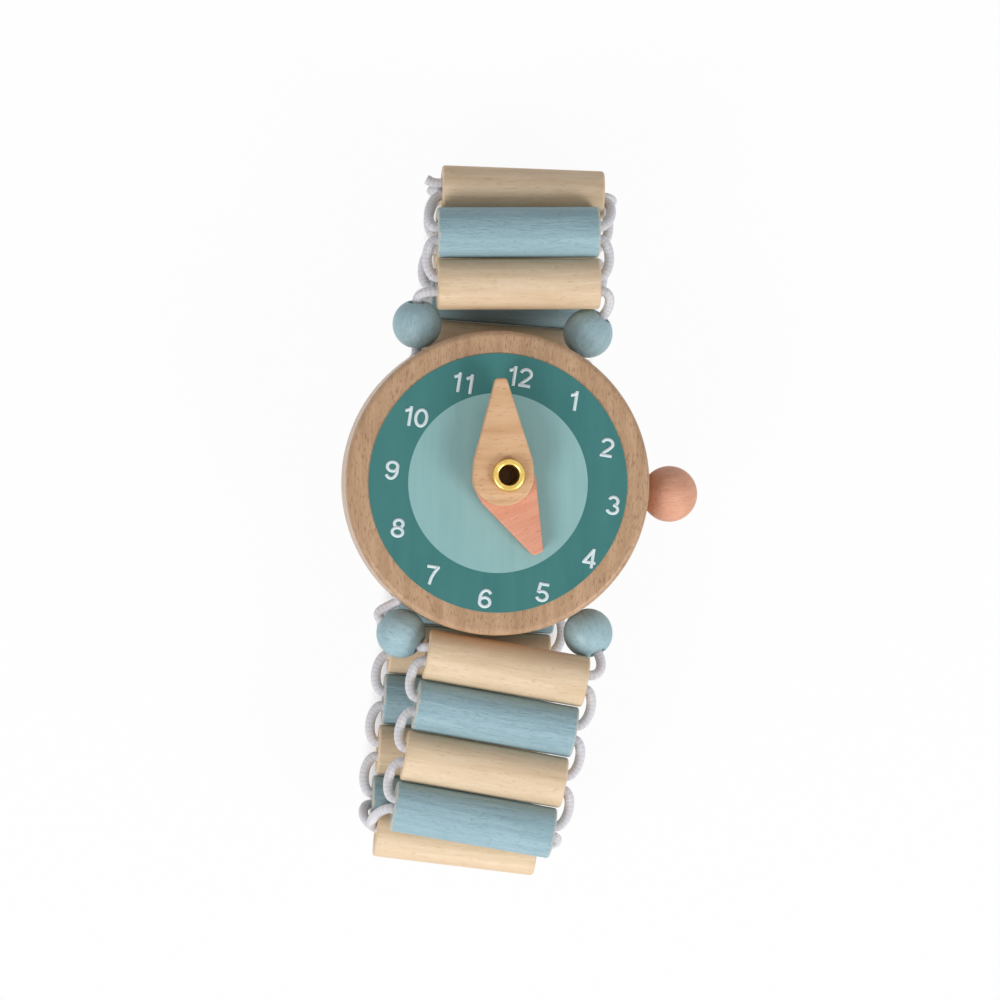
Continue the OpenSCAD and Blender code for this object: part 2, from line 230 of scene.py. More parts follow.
class SurfaceEffects:
    """Shader node groups that several finishes share, each built once. Lengths in millimetres."""

    SWAY_SCALE, SWAY_REACH = 0.09, 1.6
    RIPPLE_SCALE = 0.6
    STREAK_DRAW, FIBRE_DRAW, FLECK_DRAW = 0.05, 0.09, 0.2
    STREAK_OCTAVES, FIBRE_OCTAVES, FLECK_OCTAVES = (3.0, 0.6), (2.0, 0.6), (1.0, 0.4)
    STREAK_RANGE, FIBRE_RANGE, FLECK_RANGE = (0.33, 0.67), (0.3, 0.7), (1.0, 1.1)
    FIBRE_COUNT = 0.6
    FIBRE_RISE, FLECK_SINK = 0.6, 0.5
    WEAR_SCALE, WEAR_OCTAVES, WEAR_RANGE = 1.3, (4.0, 0.65), (0.78, 0.96)
    BROAD_OCTAVES, FINE_OCTAVES, MOTTLE_RANGE = (2.0, 0.5), (2.0, 0.6), (0.3, 0.7)
    FINE_STEP = 14.0

    def __init__(self) -> None:
        """Build the groups."""
        self.grain = self._grain()
        self.wear = self._wear()
        self.mottle = self._mottle()

    def _grain(self) -> NodeTree:
        """Build wood grain that runs along the coordinates' first axis.

        Returns:
            The node group.
        """
        tree = Group("wood_grain", "ShaderNodeTree",
                     {"Vector": "Vector", "Streak Width": 1.2, "Fibre Width": 0.16, "Fleck Share": 0.36,
                      "Fleck Width": 0.2, "Wave": 0.2}, ("Streaks", "Fibres", "Flecks", "Height"))
        given = tree.given

        def drift(scale: float, reach: Any) -> NodeSocket:
            """Give a soft sway of the coordinates, by patches per unit and reach."""
            cloud = tree.node("ShaderNodeTexNoise",
                              {"Vector": given["Vector"], "Scale": scale, "Detail": 1.0}).outputs["Color"]
            return tree.scaled(tree.vector("SUBTRACT", cloud, (0.5, 0.5, 0.5)), reach)

        def drawn(vector: NodeSocket, draw: float, count: float, width: str, octaves: Flat) -> NodeSocket:
            """Give noise that is drawn out along the grain, for the input that holds its width."""
            long_way = tree.vector("MULTIPLY", vector, (draw, 1.0, 1.0))
            return tree.noise(long_way, tree.math("DIVIDE", count, given[width]), *octaves)

        swayed = tree.vector("ADD", given["Vector"], drift(self.SWAY_SCALE, self.SWAY_REACH))
        waved = tree.vector("ADD", swayed, drift(self.RIPPLE_SCALE, given["Wave"]))
        bands = drawn(swayed, self.STREAK_DRAW, 1.0, "Streak Width", self.STREAK_OCTAVES)
        lines = drawn(swayed, self.FIBRE_DRAW, self.FIBRE_COUNT, "Fibre Width", self.FIBRE_OCTAVES)
        dashes = drawn(waved, self.FLECK_DRAW, 1.0, "Fleck Width", self.FLECK_OCTAVES)
        streaks = tree.ranged(bands, *self.STREAK_RANGE)
        fibres = tree.ranged(lines, *self.FIBRE_RANGE)
        flecks = tree.ranged(tree.math("ADD", dashes, given["Fleck Share"]), *self.FLECK_RANGE)
        risen = tree.math("MULTIPLY_ADD", fibres, self.FIBRE_RISE, streaks)
        height = tree.math("SUBTRACT", risen, tree.times(flecks, self.FLECK_SINK))
        tree.give(Streaks=streaks, Fibres=fibres, Flecks=flecks, Height=height)
        return tree.tree

    def _wear(self) -> NodeTree:
        """Build patchy rubbing that follows a mask of the edges.

        Returns:
            The node group.
        """
        tree = Group("rubbed_edges", "ShaderNodeTree",
                     {"Vector": "Vector", "Edge": "Float", "Amount": 0.5}, ("Mask",))
        patches = tree.noise(tree.given["Vector"], self.WEAR_SCALE, *self.WEAR_OCTAVES)
        reach = tree.times(tree.given["Edge"], tree.given["Amount"])
        tree.give(Mask=tree.ranged(tree.math("ADD", patches, reach), *self.WEAR_RANGE))
        return tree.tree

    def _mottle(self) -> NodeTree:
        """Build soft unevenness at two scales.

        Returns:
            The node group.
        """
        tree = Group("soft_mottle", "ShaderNodeTree", {"Vector": "Vector", "Size": 2.0}, ("Broad", "Fine"))
        scale = tree.math("DIVIDE", 1.0, tree.given["Size"])
        broad = tree.noise(tree.given["Vector"], scale, *self.BROAD_OCTAVES)
        fine = tree.noise(tree.given["Vector"], tree.times(scale, self.FINE_STEP), *self.FINE_OCTAVES)
        tree.give(Broad=tree.ranged(broad, *self.MOTTLE_RANGE), Fine=tree.ranged(fine, *self.MOTTLE_RANGE))
        return tree.tree


class Coat(Tree):
    """A material's tree, with its Principled shader and the shared effects."""

    def __init__(self, tree: NodeTree, effects: SurfaceEffects) -> None:
        """Start from a bare shader.

        Args:
            tree: The material's node tree.
            effects: The shared node groups.
        """
        super().__init__(tree)
        tree.nodes.clear()
        self.effects = effects
        self.shader = self.node("ShaderNodeBsdfPrincipled")
        self.node("ShaderNodeOutputMaterial", {"Surface": self.shader.outputs[0]})

    def space(self, grain: Grain) -> NodeSocket:
        """Give coordinates in millimetres, with the grain along the first axis.

        Args:
            grain: Where the coordinates come from.

        Returns:
            The coordinates' socket.
        """
        if grain is Grain.PIECE:
            return self.node("ShaderNodeAttribute", attribute_name=grain.value).outputs["Vector"]
        place = self.node("ShaderNodeTexCoord").outputs["Object"]
        return self.out("ShaderNodeMapping",
                        {"Vector": place, "Rotation": grain.value, "Scale": (1 / MM,) * 3})

    def value(self, name: str) -> NodeSocket:
        """Read a number that the piece's mesh holds under a name."""
        return self.node("ShaderNodeAttribute", attribute_name=name).outputs["Fac"]

    def effect(self, group: NodeTree, inputs: Inputs) -> Outputs:
        """Place a shared effect with its own values and return its outputs."""
        return self.node("ShaderNodeGroup", inputs, node_tree=group).outputs

    def tint(self, mask: NodeSocket, amount: float, first: Any, second: Any) -> NodeSocket:
        """Mix two colours by a share of a mask and return the result."""
        return self.mix(self.times(mask, amount), first, second)

    def join(self, colour: NodeSocket, rough: NodeSocket, height: NodeSocket, depth: float,
             relief: float) -> None:
        """Join the finish to the shader.

        Args:
            colour: Base colour.
            rough: Roughness.
            height: Height of the relief, from 0 to 1.
            depth: Depth of the relief in millimetres.
            relief: Strength of the relief.
        """
        bump = self.out("ShaderNodeBump", {"Height": height, "Distance": depth * MM, "Strength": relief})
        for name, socket in (("Base Color", colour), ("Roughness", rough), ("Normal", bump)):
            self.feed(self.shader.inputs[name], socket)

    def plain(self, **numbers: float) -> None:
        """Set plain numbers on the shader, by socket name with low lines for spaces."""
        for name, number in numbers.items():
            self.shader.inputs[name.replace("_", " ")].default_value = number


class Finish:
    """A finish that can be laid on a material."""

    name: str

    def lay(self, coat: Coat) -> None:
        """Build the finish in a material's tree.

        Args:
            coat: The material's tree.
        """
        raise NotImplementedError

    def material(self, effects: SurfaceEffects) -> Material:
        """Make the material.

        Args:
            effects: The shared node groups.

        Returns:
            The new material.
        """
        material = bpy.data.materials.new(self.name)
        material.use_nodes = True
        self.lay(Coat(material.node_tree, effects))
        return material


class Grained(Finish):
    """A finish over wood, with grain and mottle of its own sizes."""

    streak_width: float
    fibre_width: float
    fleck_share: float
    mottle: float

    def pattern(self, coat: Coat, space: NodeSocket, **more: float) -> Tuple[Outputs, Outputs]:
        """Place the shared grain and mottle with the finish's sizes.

        Args:
            coat: The material's tree.
            space: The coordinates.
            more: Other inputs of the grain, with low lines for spaces.

        Returns:
            The outputs of the grain and of the mottle.
        """
        sizes = {"Streak Width": self.streak_width, "Fibre Width": self.fibre_width,
                 "Fleck Share": self.fleck_share}
        sizes.update({name.replace("_", " "): number for name, number in more.items()})
        grain = coat.effect(coat.effects.grain, {"Vector": space, **sizes})
        return grain, coat.effect(coat.effects.mottle, {"Vector": space, "Size": self.mottle})


@dataclass(frozen=True)
class BareWood(Grained):
    """Fine sanded wood with streaks, fibres and short flecks."""

    name: str
    light: Colour
    dark: Colour
    fleck: Colour
    grain: Grain
    streak_width: float = 1.2
    fibre_width: float = 0.16
    fleck_share: float = 0.36
    fleck_width: float = 0.2
    fibre_tone: float = 0.25
    fleck_tone: float = 0.6
    warmth: float = 0.25
    mottle: float = 3.5
    polish: float = 0.5
    fibre_rough: float = 0.16
    depth: float = 0.02
    relief: float = 0.6
    gloss: float = 0.35

    def lay(self, coat: Coat) -> None:
        """Build the finish in a material's tree.

        Args:
            coat: The material's tree.
        """
        grain, mottle = self.pattern(coat, coat.space(self.grain), Fleck_Width=self.fleck_width)
        toned = coat.mix(grain["Streaks"], self.light, self.dark)
        fibred = coat.tint(grain["Fibres"], self.fibre_tone, toned, self.dark)
        warm = coat.tint(mottle["Broad"], self.warmth, fibred, self.light)
        rough = coat.ranged(grain["Fibres"], 0.0, 1.0, self.polish, self.polish + self.fibre_rough)
        flecked = coat.tint(grain["Flecks"], self.fleck_tone, warm, self.fleck)
        coat.join(flecked, rough, grain["Height"], self.depth, self.relief)
        coat.plain(Specular_IOR_Level=self.gloss)


@dataclass(frozen=True)
class PaintedWood(Grained):
    """Thin matt paint that shows the grain and rubs through at the edges."""

    name: str
    paint: Colour
    shade: Colour
    wood: Colour
    grain: Grain
    thin: float = 0.3
    streak_width: float = 0.9
    fibre_width: float = 0.14
    streak_tone: float = 0.55
    fleck_share: float = 0.43
    fleck_tone: float = 0.6
    wave: float = 0.9
    mottle: float = 2.2
    wear: float = 0.5
    rub: float = 0.7
    edge: Flat = (0.95, 0.99)
    rough: Flat = (0.42, 0.58)
    depth: float = 0.06
    relief: float = 0.7
    gloss: float = 0.4

    def lay(self, coat: Coat) -> None:
        """Build the finish in a material's tree.

        Args:
            coat: The material's tree.
        """
        space = coat.space(self.grain)
        grain, mottle = self.pattern(coat, space, Wave=self.wave)
        tone = coat.math("MULTIPLY_ADD", grain["Streaks"], self.streak_tone,
                         coat.times(grain["Fibres"], self.thin))
        painted = coat.mix(tone, self.paint, self.shade)
        pored = coat.tint(grain["Flecks"], self.fleck_tone, painted, self.shade)
        edge = coat.ranged(coat.math("ABSOLUTE", coat.value("span")), *self.edge)
        rubbed = coat.effect(coat.effects.wear, {"Vector": space, "Edge": edge, "Amount": self.wear})
        rough = coat.ranged(mottle["Broad"], 0.0, 1.0, *self.rough)
        worn = coat.tint(rubbed["Mask"], self.rub, pored, self.wood)
        coat.join(worn, rough, grain["Height"], self.depth, self.relief)
        coat.plain(Specular_IOR_Level=self.gloss)


@dataclass(frozen=True)
class DialPrint(Grained):
    """Screen print on the case's face, with the wood's grain telling through."""

    name: str
    ink: Colour
    thin_ink: Colour
    streak_width: float = 1.5
    fibre_width: float = 0.2
    fleck_share: float = 0.345
    mottle: float = 4.0
    streak_tone: float = 0.45
    mottle_tone: float = 0.3
    fleck_tone: float = 0.35
    rough: Flat = (0.45, 0.6)
    depth: float = 0.012
    relief: float = 0.5
    gloss: float = 0.35

    def lay(self, coat: Coat) -> None:
        """Build the finish in a material's tree.

        Args:
            coat: The material's tree.
        """
        grain, mottle = self.pattern(coat, coat.space(Grain.ALONG_Y))
        tone = coat.math("MULTIPLY_ADD", grain["Streaks"], self.streak_tone,
                         coat.times(mottle["Broad"], self.mottle_tone))
        inked = coat.mix(tone, self.ink, self.thin_ink)
        rough = coat.ranged(mottle["Fine"], 0.0, 1.0, *self.rough)
        flecked = coat.tint(grain["Flecks"], self.fleck_tone, inked, self.thin_ink)
        coat.join(flecked, rough, grain["Height"], self.depth, self.relief)
        coat.plain(Specular_IOR_Level=self.gloss)


@dataclass(frozen=True)
class RolledBrass(Finish):
    """Bright brass with fine handling marks."""

    name: str
    metal: Colour
    tarnish: Colour
    mottle: float = 0.9
    rough: Flat = (0.18, 0.32)
    tarnish_tone: float = 0.5
    depth: float = 0.004
    relief: float = 0.4

    def lay(self, coat: Coat) -> None:
        """Build the finish in a material's tree.

        Args:
            coat: The material's tree.
        """
        mottle = coat.effect(coat.effects.mottle, {"Vector": coat.space(Grain.ALONG_X), "Size": self.mottle})
        colour = coat.tint(mottle["Broad"], self.tarnish_tone, self.metal, self.tarnish)
        rough = coat.ranged(mottle["Fine"], 0.0, 1.0, *self.rough)
        coat.join(colour, rough, mottle["Fine"], self.depth, self.relief)
        coat.plain(Metallic=1.0)


@dataclass(frozen=True)
class BraidedCord(Finish):
    """Soft white braid, with painted shade towards the hollows between its strands."""

    name: str
    strand: Colour
    shade: Colour
    mottle: float = 0.9
    rough: Flat = (0.6, 0.8)
    # How the crest maps to the painted shade in the hollows between strands.
    hollow: Tuple[float, ...] = (-1.0, 0.5, 0.4, 0.0)
    fine_tone: float = 0.3
    depth: float = 0.02
    relief: float = 0.5
    sheen: float = 0.25
    gloss: float = 0.3

    def lay(self, coat: Coat) -> None:
        """Build the finish in a material's tree.

        Args:
            coat: The material's tree.
        """
        space = coat.space(Grain.ALONG_X)
        fine = coat.effect(coat.effects.mottle, {"Vector": space, "Size": self.mottle})["Fine"]
        # The colour darkens towards the braid's hollows: painted shade, on top of the real relief.
        hollow = coat.ranged(coat.value("crest"), *self.hollow)
        shaded = coat.math("MULTIPLY_ADD", fine, self.fine_tone, hollow)
        rough = coat.ranged(fine, 0.0, 1.0, *self.rough)
        coat.join(coat.mix(shaded, self.strand, self.shade), rough, fine, self.depth, self.relief)
        coat.plain(Sheen_Weight=self.sheen, Specular_IOR_Level=self.gloss)


WHITE_INK = DialPrint("white_ink", srgb(222, 234, 237), srgb(200, 220, 224))
DARK_INK = DialPrint("dark_teal_ink", srgb(52, 115, 114), srgb(66, 126, 123))
PALE_INK = DialPrint("pale_teal_ink", srgb(146, 187, 187), srgb(134, 176, 177))
CASE_WOOD = BareWood("beech_case", srgb(203, 168, 135), srgb(172, 136, 104), srgb(142, 104, 78),
                     Grain.ALONG_Y, streak_width=1.4, fleck_share=0.43, fleck_width=0.16,
                     fibre_tone=0.5, polish=0.25)
SLAT_WOOD = BareWood("pale_slat_wood", srgb(234, 211, 182), srgb(212, 184, 149), srgb(190, 157, 121),
                     Grain.PIECE, streak_width=1.3, fibre_width=0.14, fleck_share=0.38, fibre_tone=0.4,
                     fleck_tone=0.35)
HAND_WOOD = BareWood("minute_hand_wood", srgb(228, 189, 149), srgb(204, 158, 116), srgb(170, 122, 86),
                     Grain.PIECE, streak_width=1.1, fibre_width=0.18, fibre_tone=0.4)
CORAL_HAND = BareWood("coral_hand_wood", srgb(230, 168, 140), srgb(216, 146, 118), srgb(190, 116, 92),
                      Grain.PIECE, streak_width=0.9, fibre_width=0.18)
BLUE_SLAT = PaintedWood("blue_slat_paint", srgb(160, 189, 199), srgb(132, 163, 173), srgb(205, 196, 178),
                        Grain.PIECE)
BLUE_BEAD = PaintedWood("blue_bead_paint", srgb(166, 195, 204), srgb(142, 172, 180), srgb(200, 192, 176),
                        Grain.PIECE, thin=0.2)
CORAL_BALL = PaintedWood("coral_crown_paint", srgb(226, 168, 140), srgb(206, 148, 118), srgb(222, 186, 150),
                         Grain.ALONG_X, thin=0.25)
BRASS = RolledBrass("rolled_brass", srgb(238, 206, 120), srgb(196, 158, 76))
# The second colour is painted shade, laid in the hollows between the strands.
CORD = BraidedCord("white_braid", srgb(236, 234, 238), srgb(176, 176, 186))


def placed(name: str, data: Any) -> Object:
    """Put a new object into the scene.

    Args:
        name: The object's name.
        data: Its mesh, curve, lamp or camera.

    Returns:
        The object.
    """
    made = bpy.data.objects.new(name, data)
    bpy.context.scene.collection.objects.link(made)
    return made


def finished(mesh: Mesh, name: str, material: Material, body: str,
             replaces: Sequence[str] = ()) -> None:
    """Put a finished mesh into the scene as a piece that rides on a body.

    Args:
        mesh: The mesh, with its place in its points.
        name: The piece's name.
        material: Its finish.
        body: The body that it rides on.
        replaces: CAD nodes that it stands for.
    """
    mesh.name = name
    mesh.materials.clear()
    mesh.materials.append(material)
    piece = placed(name, mesh)
    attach(piece, body)
    if replaces:
        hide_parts(*replaces)
    LOG.info("made %s on %s", name, body)


def dress(node: str, material: Material) -> None:
    """Give a CAD node a finish.

    Args:
        node: The node's name.
        material: Its finish.
    """
    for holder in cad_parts[node].material_slots:
        holder.material = material
    LOG.info("dressed %s", node)


def plain_mesh(maker: Object) -> Mesh:
    """Turn a made object, with its modifiers, into a plain mesh and drop the object.

    Doubled points are merged and the faces turned outwards.

    Args:
        maker: The object to evaluate.

    Returns:
        The mesh.
    """
    bpy.context.view_layer.update()
    view = bpy.context.evaluated_depsgraph_get()
    mesh = bpy.data.meshes.new_from_object(maker.evaluated_get(view), depsgraph=view)
    maker.modifiers.clear()
    source = maker.data
    bpy.data.objects.remove(maker)
    (bpy.data.curves if isinstance(source, Curve) else bpy.data.meshes).remove(source)
    work = bmesh.new()
    work.from_mesh(mesh)
    bmesh.ops.remove_doubles(work, verts=work.verts, dist=SAME_POINT)
    bmesh.ops.recalc_face_normals(work, faces=work.faces)
    work.to_mesh(mesh)
    work.free()
    return mesh


def lines_curve(name: str, lines: Iterable[Sequence[Any]]) -> Curve:
    """Make a curve of straight lines.

    Args:
        name: The curve's name.
        lines: Points of each line in millimetres. A line that ends where it starts is closed.

    Returns:
        The curve.
    """
    curve = bpy.data.curves.new(name, "CURVE")
    curve.dimensions = "3D"
    for line in lines:
        closed = math.dist(line[0], line[-1]) < SAME_POINT / MM
        points = line[:-1] if closed else line
        spline = curve.splines.new("POLY")
        spline.points.add(len(points) - 1)
        spline.use_cyclic_u = closed
        for knot, point in zip(spline.points, points):
            knot.co = (*(np.asarray(point) * MM), 1.0)
    return curve


class Maker(Group):
    """A Geometry Nodes group that makes one dressed mesh."""

    def __init__(self, name: str, *sizes: str, **others: str) -> None:
        """Make the group.

        Args:
            name: The group's name.
            sizes: Names of its plain number inputs.
            others: Kinds of its other inputs by name.
        """
        takes = {"Geometry": "Geometry", **dict.fromkeys(sizes, "Float"), **others, "Finish": "Material"}
        super().__init__(name, "GeometryNodeTree", takes, ("Geometry",), "Geometry")

    def keep(self, geometry: NodeSocket, name: str, value: NodeSocket, kind: str = "FLOAT") -> NodeSocket:
        """Store a value on the points.

        Args:
            geometry: What holds the points.
            name: Name to store it under.
            value: The value.
            kind: Its data type.

        Returns:
            The geometry with the value.
        """
        return self.out("GeometryNodeStoreNamedAttribute",
                        {"Geometry": geometry, "Name": name, "Value": value}, data_type=kind, domain="POINT")

    def close(self, geometry: NodeSocket) -> None:
        """End the tree in real geometry with its finish on.

        Args:
            geometry: What the tree has made.
        """
        real = self.out("GeometryNodeRealizeInstances", {"Geometry": geometry})
        coated = self.out("GeometryNodeSetMaterial", {"Geometry": real, "Material": self.given["Finish"]})
        self.give(Geometry=coated)

    def make(self, source: Union[Mesh, Curve], values: Mapping[str, Any]) -> Mesh:
        """Run the tree and give the result as a plain mesh.

        Args:
            source: The mesh or curve that the tree starts from.
            values: The tree's inputs by name.

        Returns:
            The mesh.
        """
        maker = placed(source.name, source)
        modifier = maker.modifiers.new(self.tree.name, "NODES")
        modifier.node_group = self.tree
        for socket in self.tree.interface.items_tree:
            if socket.in_out == "INPUT" and socket.name in values:
                modifier[socket.identifier] = values[socket.name]
        return plain_mesh(maker)


def smooth_path(points: Sequence[np.ndarray], step: float, nearest: float = 0.02) -> List[np.ndarray]:
    """Run a smooth curve through points.

    Args:
        points: Points to pass through.
        step: Distance between the new points.
        nearest: Points closer than this to the one before are left out.

    Returns:
        Points along the curve.
    """
    line = [points[0]]
    for point in points[1:]:
        if np.linalg.norm(point - line[-1]) > nearest:
            line.append(point)
    padded = [2 * line[0] - line[1], *line, 2 * line[-1] - line[-2]]
    made = []
    for before, here, there, after in zip(padded, padded[1:], padded[2:], padded[3:]):
        span = float(np.linalg.norm(there - here))
        lead = (there - before) / (np.linalg.norm(here - before) + span) * span
        trail = (after - here) / (np.linalg.norm(after - there) + span) * span
        parts = max(1, round(span / step))
        for t in (i / parts for i in range(parts)):
            made.append(here * (2 * t**3 - 3 * t**2 + 1) + lead * (t**3 - 2 * t**2 + t)
                        + there * (3 * t**2 - 2 * t**3) + trail * (t**3 - t**2))
    return made + [line[-1]]


@dataclass
class CordMaker:
    """Braided elastic cord along paths. Sizes in millimetres."""

    finish: Material
    radius: float = 0.64
    strands: int = 6
    relief: float = 0.016
    lay: float = 1.1
    sides: int = 20
    step: float = 0.11

    def __post_init__(self) -> None:
        """Build the tree once."""
        self.maker = self._maker()

    @staticmethod
    def _maker() -> Maker:
        """Build the Geometry Nodes tree that wraps a braid round curves.

        Returns:
            The tree.
        """
        tree = Maker("braided_cord", "Radius", "Relief", "Lay", "Strands", Sides="Int")
        given = tree.given
        place = tree.node("GeometryNodeSplineParameter").outputs
        route = tree.keep(given["Geometry"], "along", place["Length"])
        ring = tree.out("GeometryNodeCurvePrimitiveCircle",
                        {"Resolution": given["Sides"], "Radius": given["Radius"]})
        marked = tree.keep(ring, "around", place["Factor"])
        tube = tree.out("GeometryNodeCurveToMesh",
                        {"Curve": route, "Profile Curve": marked, "Fill Caps": True})
        along, around = (tree.out("GeometryNodeInputNamedAttribute", {"Name": name}, data_type="FLOAT")
                         for name in ("along", "around"))
        pass_round = tree.times(tree.times(around, given["Strands"]), 2 * math.pi)
        pass_along = tree.times(tree.math("DIVIDE", along, given["Lay"]), 2 * math.pi)
        crest = tree.times(*(tree.math("COSINE", tree.math(way, pass_round, pass_along))
                             for way in ("ADD", "SUBTRACT")))
        # The crest is kept for the finish, which paints shade into the hollows between strands.
        kept = tree.keep(tube, "crest", crest)
        lift = tree.scaled(tree.out("GeometryNodeInputNormal"), tree.times(crest, given["Relief"]))
        raised = tree.out("GeometryNodeSetPosition", {"Geometry": kept, "Offset": lift})
        tree.close(tree.out("GeometryNodeSetShadeSmooth", {"Geometry": raised}))
        return tree

    def make(self, name: str, runs: Iterable[Sequence[np.ndarray]], body: str, node: str) -> None:
        """Make one piece of cord.

        Args:
            name: The piece's name.
            runs: Points of each run, in millimetres.
            body: The body that it rides on.
            node: The CAD node that it stands for.
        """
        curve = lines_curve(name, (smooth_path(run, self.step) for run in runs))
        mesh = self.maker.make(curve, {
            "Radius": self.radius * MM, "Relief": self.relief * MM, "Lay": self.lay * MM,
            "Strands": float(self.strands), "Sides": self.sides, "Finish": self.finish})
        finished(mesh, name, self.finish, body, [node])


@dataclass
class Strap:
    """Twenty-one round slats on two runs of elastic cord. Sizes in millimetres, turns in degrees."""

    slat_radius: float = 3.35
    slat_length: float = 21.5
    length_spread: float = 0.06
    length_beat: float = 2.4
    bore_radius: float = 1.7
    edge: float = 0.4
    mouth: float = 0.5
    sharp: float = 9.0
    turn_round: float = 137.5
    cord_off: float = 0.95
    cord_cut: float = 0.16
    loop_height: float = 1.3
    loop_in: float = 1.2
    loop_steps: int = 14
    bore_steps: int = 6
    meet_off: float = 0.39
    meet_in: float = 0.5
    tail_length: float = 2.0
    tail_in: float = 2.0
    tail_drop: float = 0.18
    tail_rise: float = 0.5
    tail_knee: Flat = (0.6, 0.2)
    count: int = 21
    last_top: int = 10
    tail_slat: int = 3
    centres: Dict[int, np.ndarray] = field(default_factory=dict)

    def __post_init__(self) -> None:
        """Take the slats' middles from the frame."""
        for k in range(1, self.count + 1):
            self.centres[k] = np.mean(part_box(self.slat_name(k)), axis=0) / MM

    @staticmethod
    def slat_name(k: int) -> str:
        """Name slat k and its body."""
        return f"slat_{k:02d}"

    @staticmethod
    def row(k: int) -> Row:
        """Give the row that slat k lies in.

        Args:
            k: The slat.

        Returns:
            The row.
        """
        top_fold, bottom_fold = 3, 17
        if k <= top_fold:
            return Row.TOP if k < top_fold else Row.TOP_FOLD
        if k < bottom_fold:
            return Row.LOWER
        return Row.BOTTOM_FOLD if k == bottom_fold else Row.BOTTOM

    def along(self, k: int) -> np.ndarray:
        """Give the unit direction along slat k."""
        turn = math.radians(self.row(k).value)
        return np.array([math.cos(turn), math.sin(turn), 0.0])

    def after(self, k: int) -> int:
        """Give the slat that slat k's cord goes on to."""
        return k + 1 if k <= self.last_top else k - 1

    def before(self, k: int) -> int:
        """Give the slat that slat k's cord comes from, or 0 or 22 for the case."""
        return k - 1 if k <= self.last_top else k + 1

    def toward(self, k: int, other: int) -> np.ndarray:
        """Give the direction from slat k to another, square to slat k.

        Args:
            k: The slat.
            other: The other slat, or 0 or 22 for the case.

        Returns:
            A unit direction.
        """
        if other in self.centres:
            way = self.centres[other] - self.centres[k]
        else:
            way = np.array([0.0, -1.0 if other < 1 else 1.0, 0.0])
        along = self.along(k)
        way = way - along * float(way @ along)
        return way / np.linalg.norm(way)

    def mouth_at(self, k: int, other: int, side: int, deep: float = 0.0) -> np.ndarray:
        """Give the point where the cord crosses slat k's end on its way to another.

        Where the strap's halves meet, the cord goes in near the middle of the bore, so that they can shift.

        Args:
            k: The slat.
            other: The slat that the cord goes to.
            side: 1 on the crown side, -1 on the far side.
            deep: How far inside the end the point lies.

        Returns:
            The point.
        """
        off = self.meet_off if (k, other) == (self.last_top + 1, self.last_top) else self.cord_off
        reach = side * (self.slat_length / 2 - deep)
        return self.centres[k] + self.along(k) * reach + self.toward(k, other) * off

    def loop_path(self, k: int, side: int) -> List[np.ndarray]:
        """Give the loop of cord outside slat k and the next, half an ellipse, and its way in.

        Args:
            k: The slat.
            side: 1 on the crown side, -1 on the far side.

        Returns:
            Points of the loop.
        """
        other = self.after(k)
        first, second = self.mouth_at(k, other, side), self.mouth_at(other, k, side)
        out = self.along(k) + self.along(other)
        out = out / np.linalg.norm(out) * side * self.loop_height
        turns = [math.pi * i / self.loop_steps for i in range(self.loop_steps + 1)]
        loop = [(first + second) / 2 + (first - second) / 2 * math.cos(t) + out * math.sin(t) for t in turns]
        return loop + [self.mouth_at(other, k, side, self.meet_in if k == self.last_top else self.loop_in)]

    def bore_path(self, k: int, side: int) -> List[np.ndarray]:
        """Give the cord inside slat k, from the side it comes in on to the side it leaves by.

        Args:
            k: The slat.
            side: 1 for the run that leaves on the crown side, -1 for the other.

        Returns:
            Points inside the bore.
        """
        along, start_way = self.along(k), self.toward(k, self.before(k))
        square = np.cross(along, start_way)
        leave = self.toward(k, self.after(k))
        turn = math.atan2(float(leave @ square), float(leave @ start_way))
        if side > 0 and turn <= 0:
            turn += 2 * math.pi
        if side < 0 and turn > 0:
            turn -= 2 * math.pi
        start = -self.slat_length / 2 + self.loop_in + self.cord_cut
        stop = -start if k == self.last_top + 1 else self.slat_length / 2 - self.cord_cut
        points = []
        for share in (i / self.bore_steps for i in range(self.bore_steps + 1)):
            way = start_way * math.cos(turn * share) + square * math.sin(turn * share)
            reach = side * (start + (stop - start) * share)
            points.append(self.centres[k] + along * reach + way * self.cord_off)
        return points

    def runs(self, k: int) -> List[List[np.ndarray]]:
        """Give the paths of the cord that goes with slat k.

        Args:
            k: The slat.

        Returns:
            One list of points for each run.
        """
        ends_here = k == self.last_top + 1
        made = [self.bore_path(k, side) + ([] if ends_here else self.loop_path(k, side)) for side in (-1, 1)]
        return made + [self.tail_path()] if k == self.tail_slat else made

    def tail_path(self) -> List[np.ndarray]:
        """Give the cut tail of cord at the upper fold.

        Returns:
            Points of the tail.
        """
        k = self.tail_slat
        along = -self.along(k)
        out = np.array([0.0, 1.0, -self.tail_drop])
        out = out - along * float(out @ along)
        out = out / np.linalg.norm(out)
        start = self.centres[k] + along * self.slat_length / 2 + out * self.cord_off
        far, high = along * self.tail_length, out * self.tail_rise
        return [start - along * self.tail_in, start,
                start + far * self.tail_knee[0] + high * self.tail_knee[1], start + far + high]

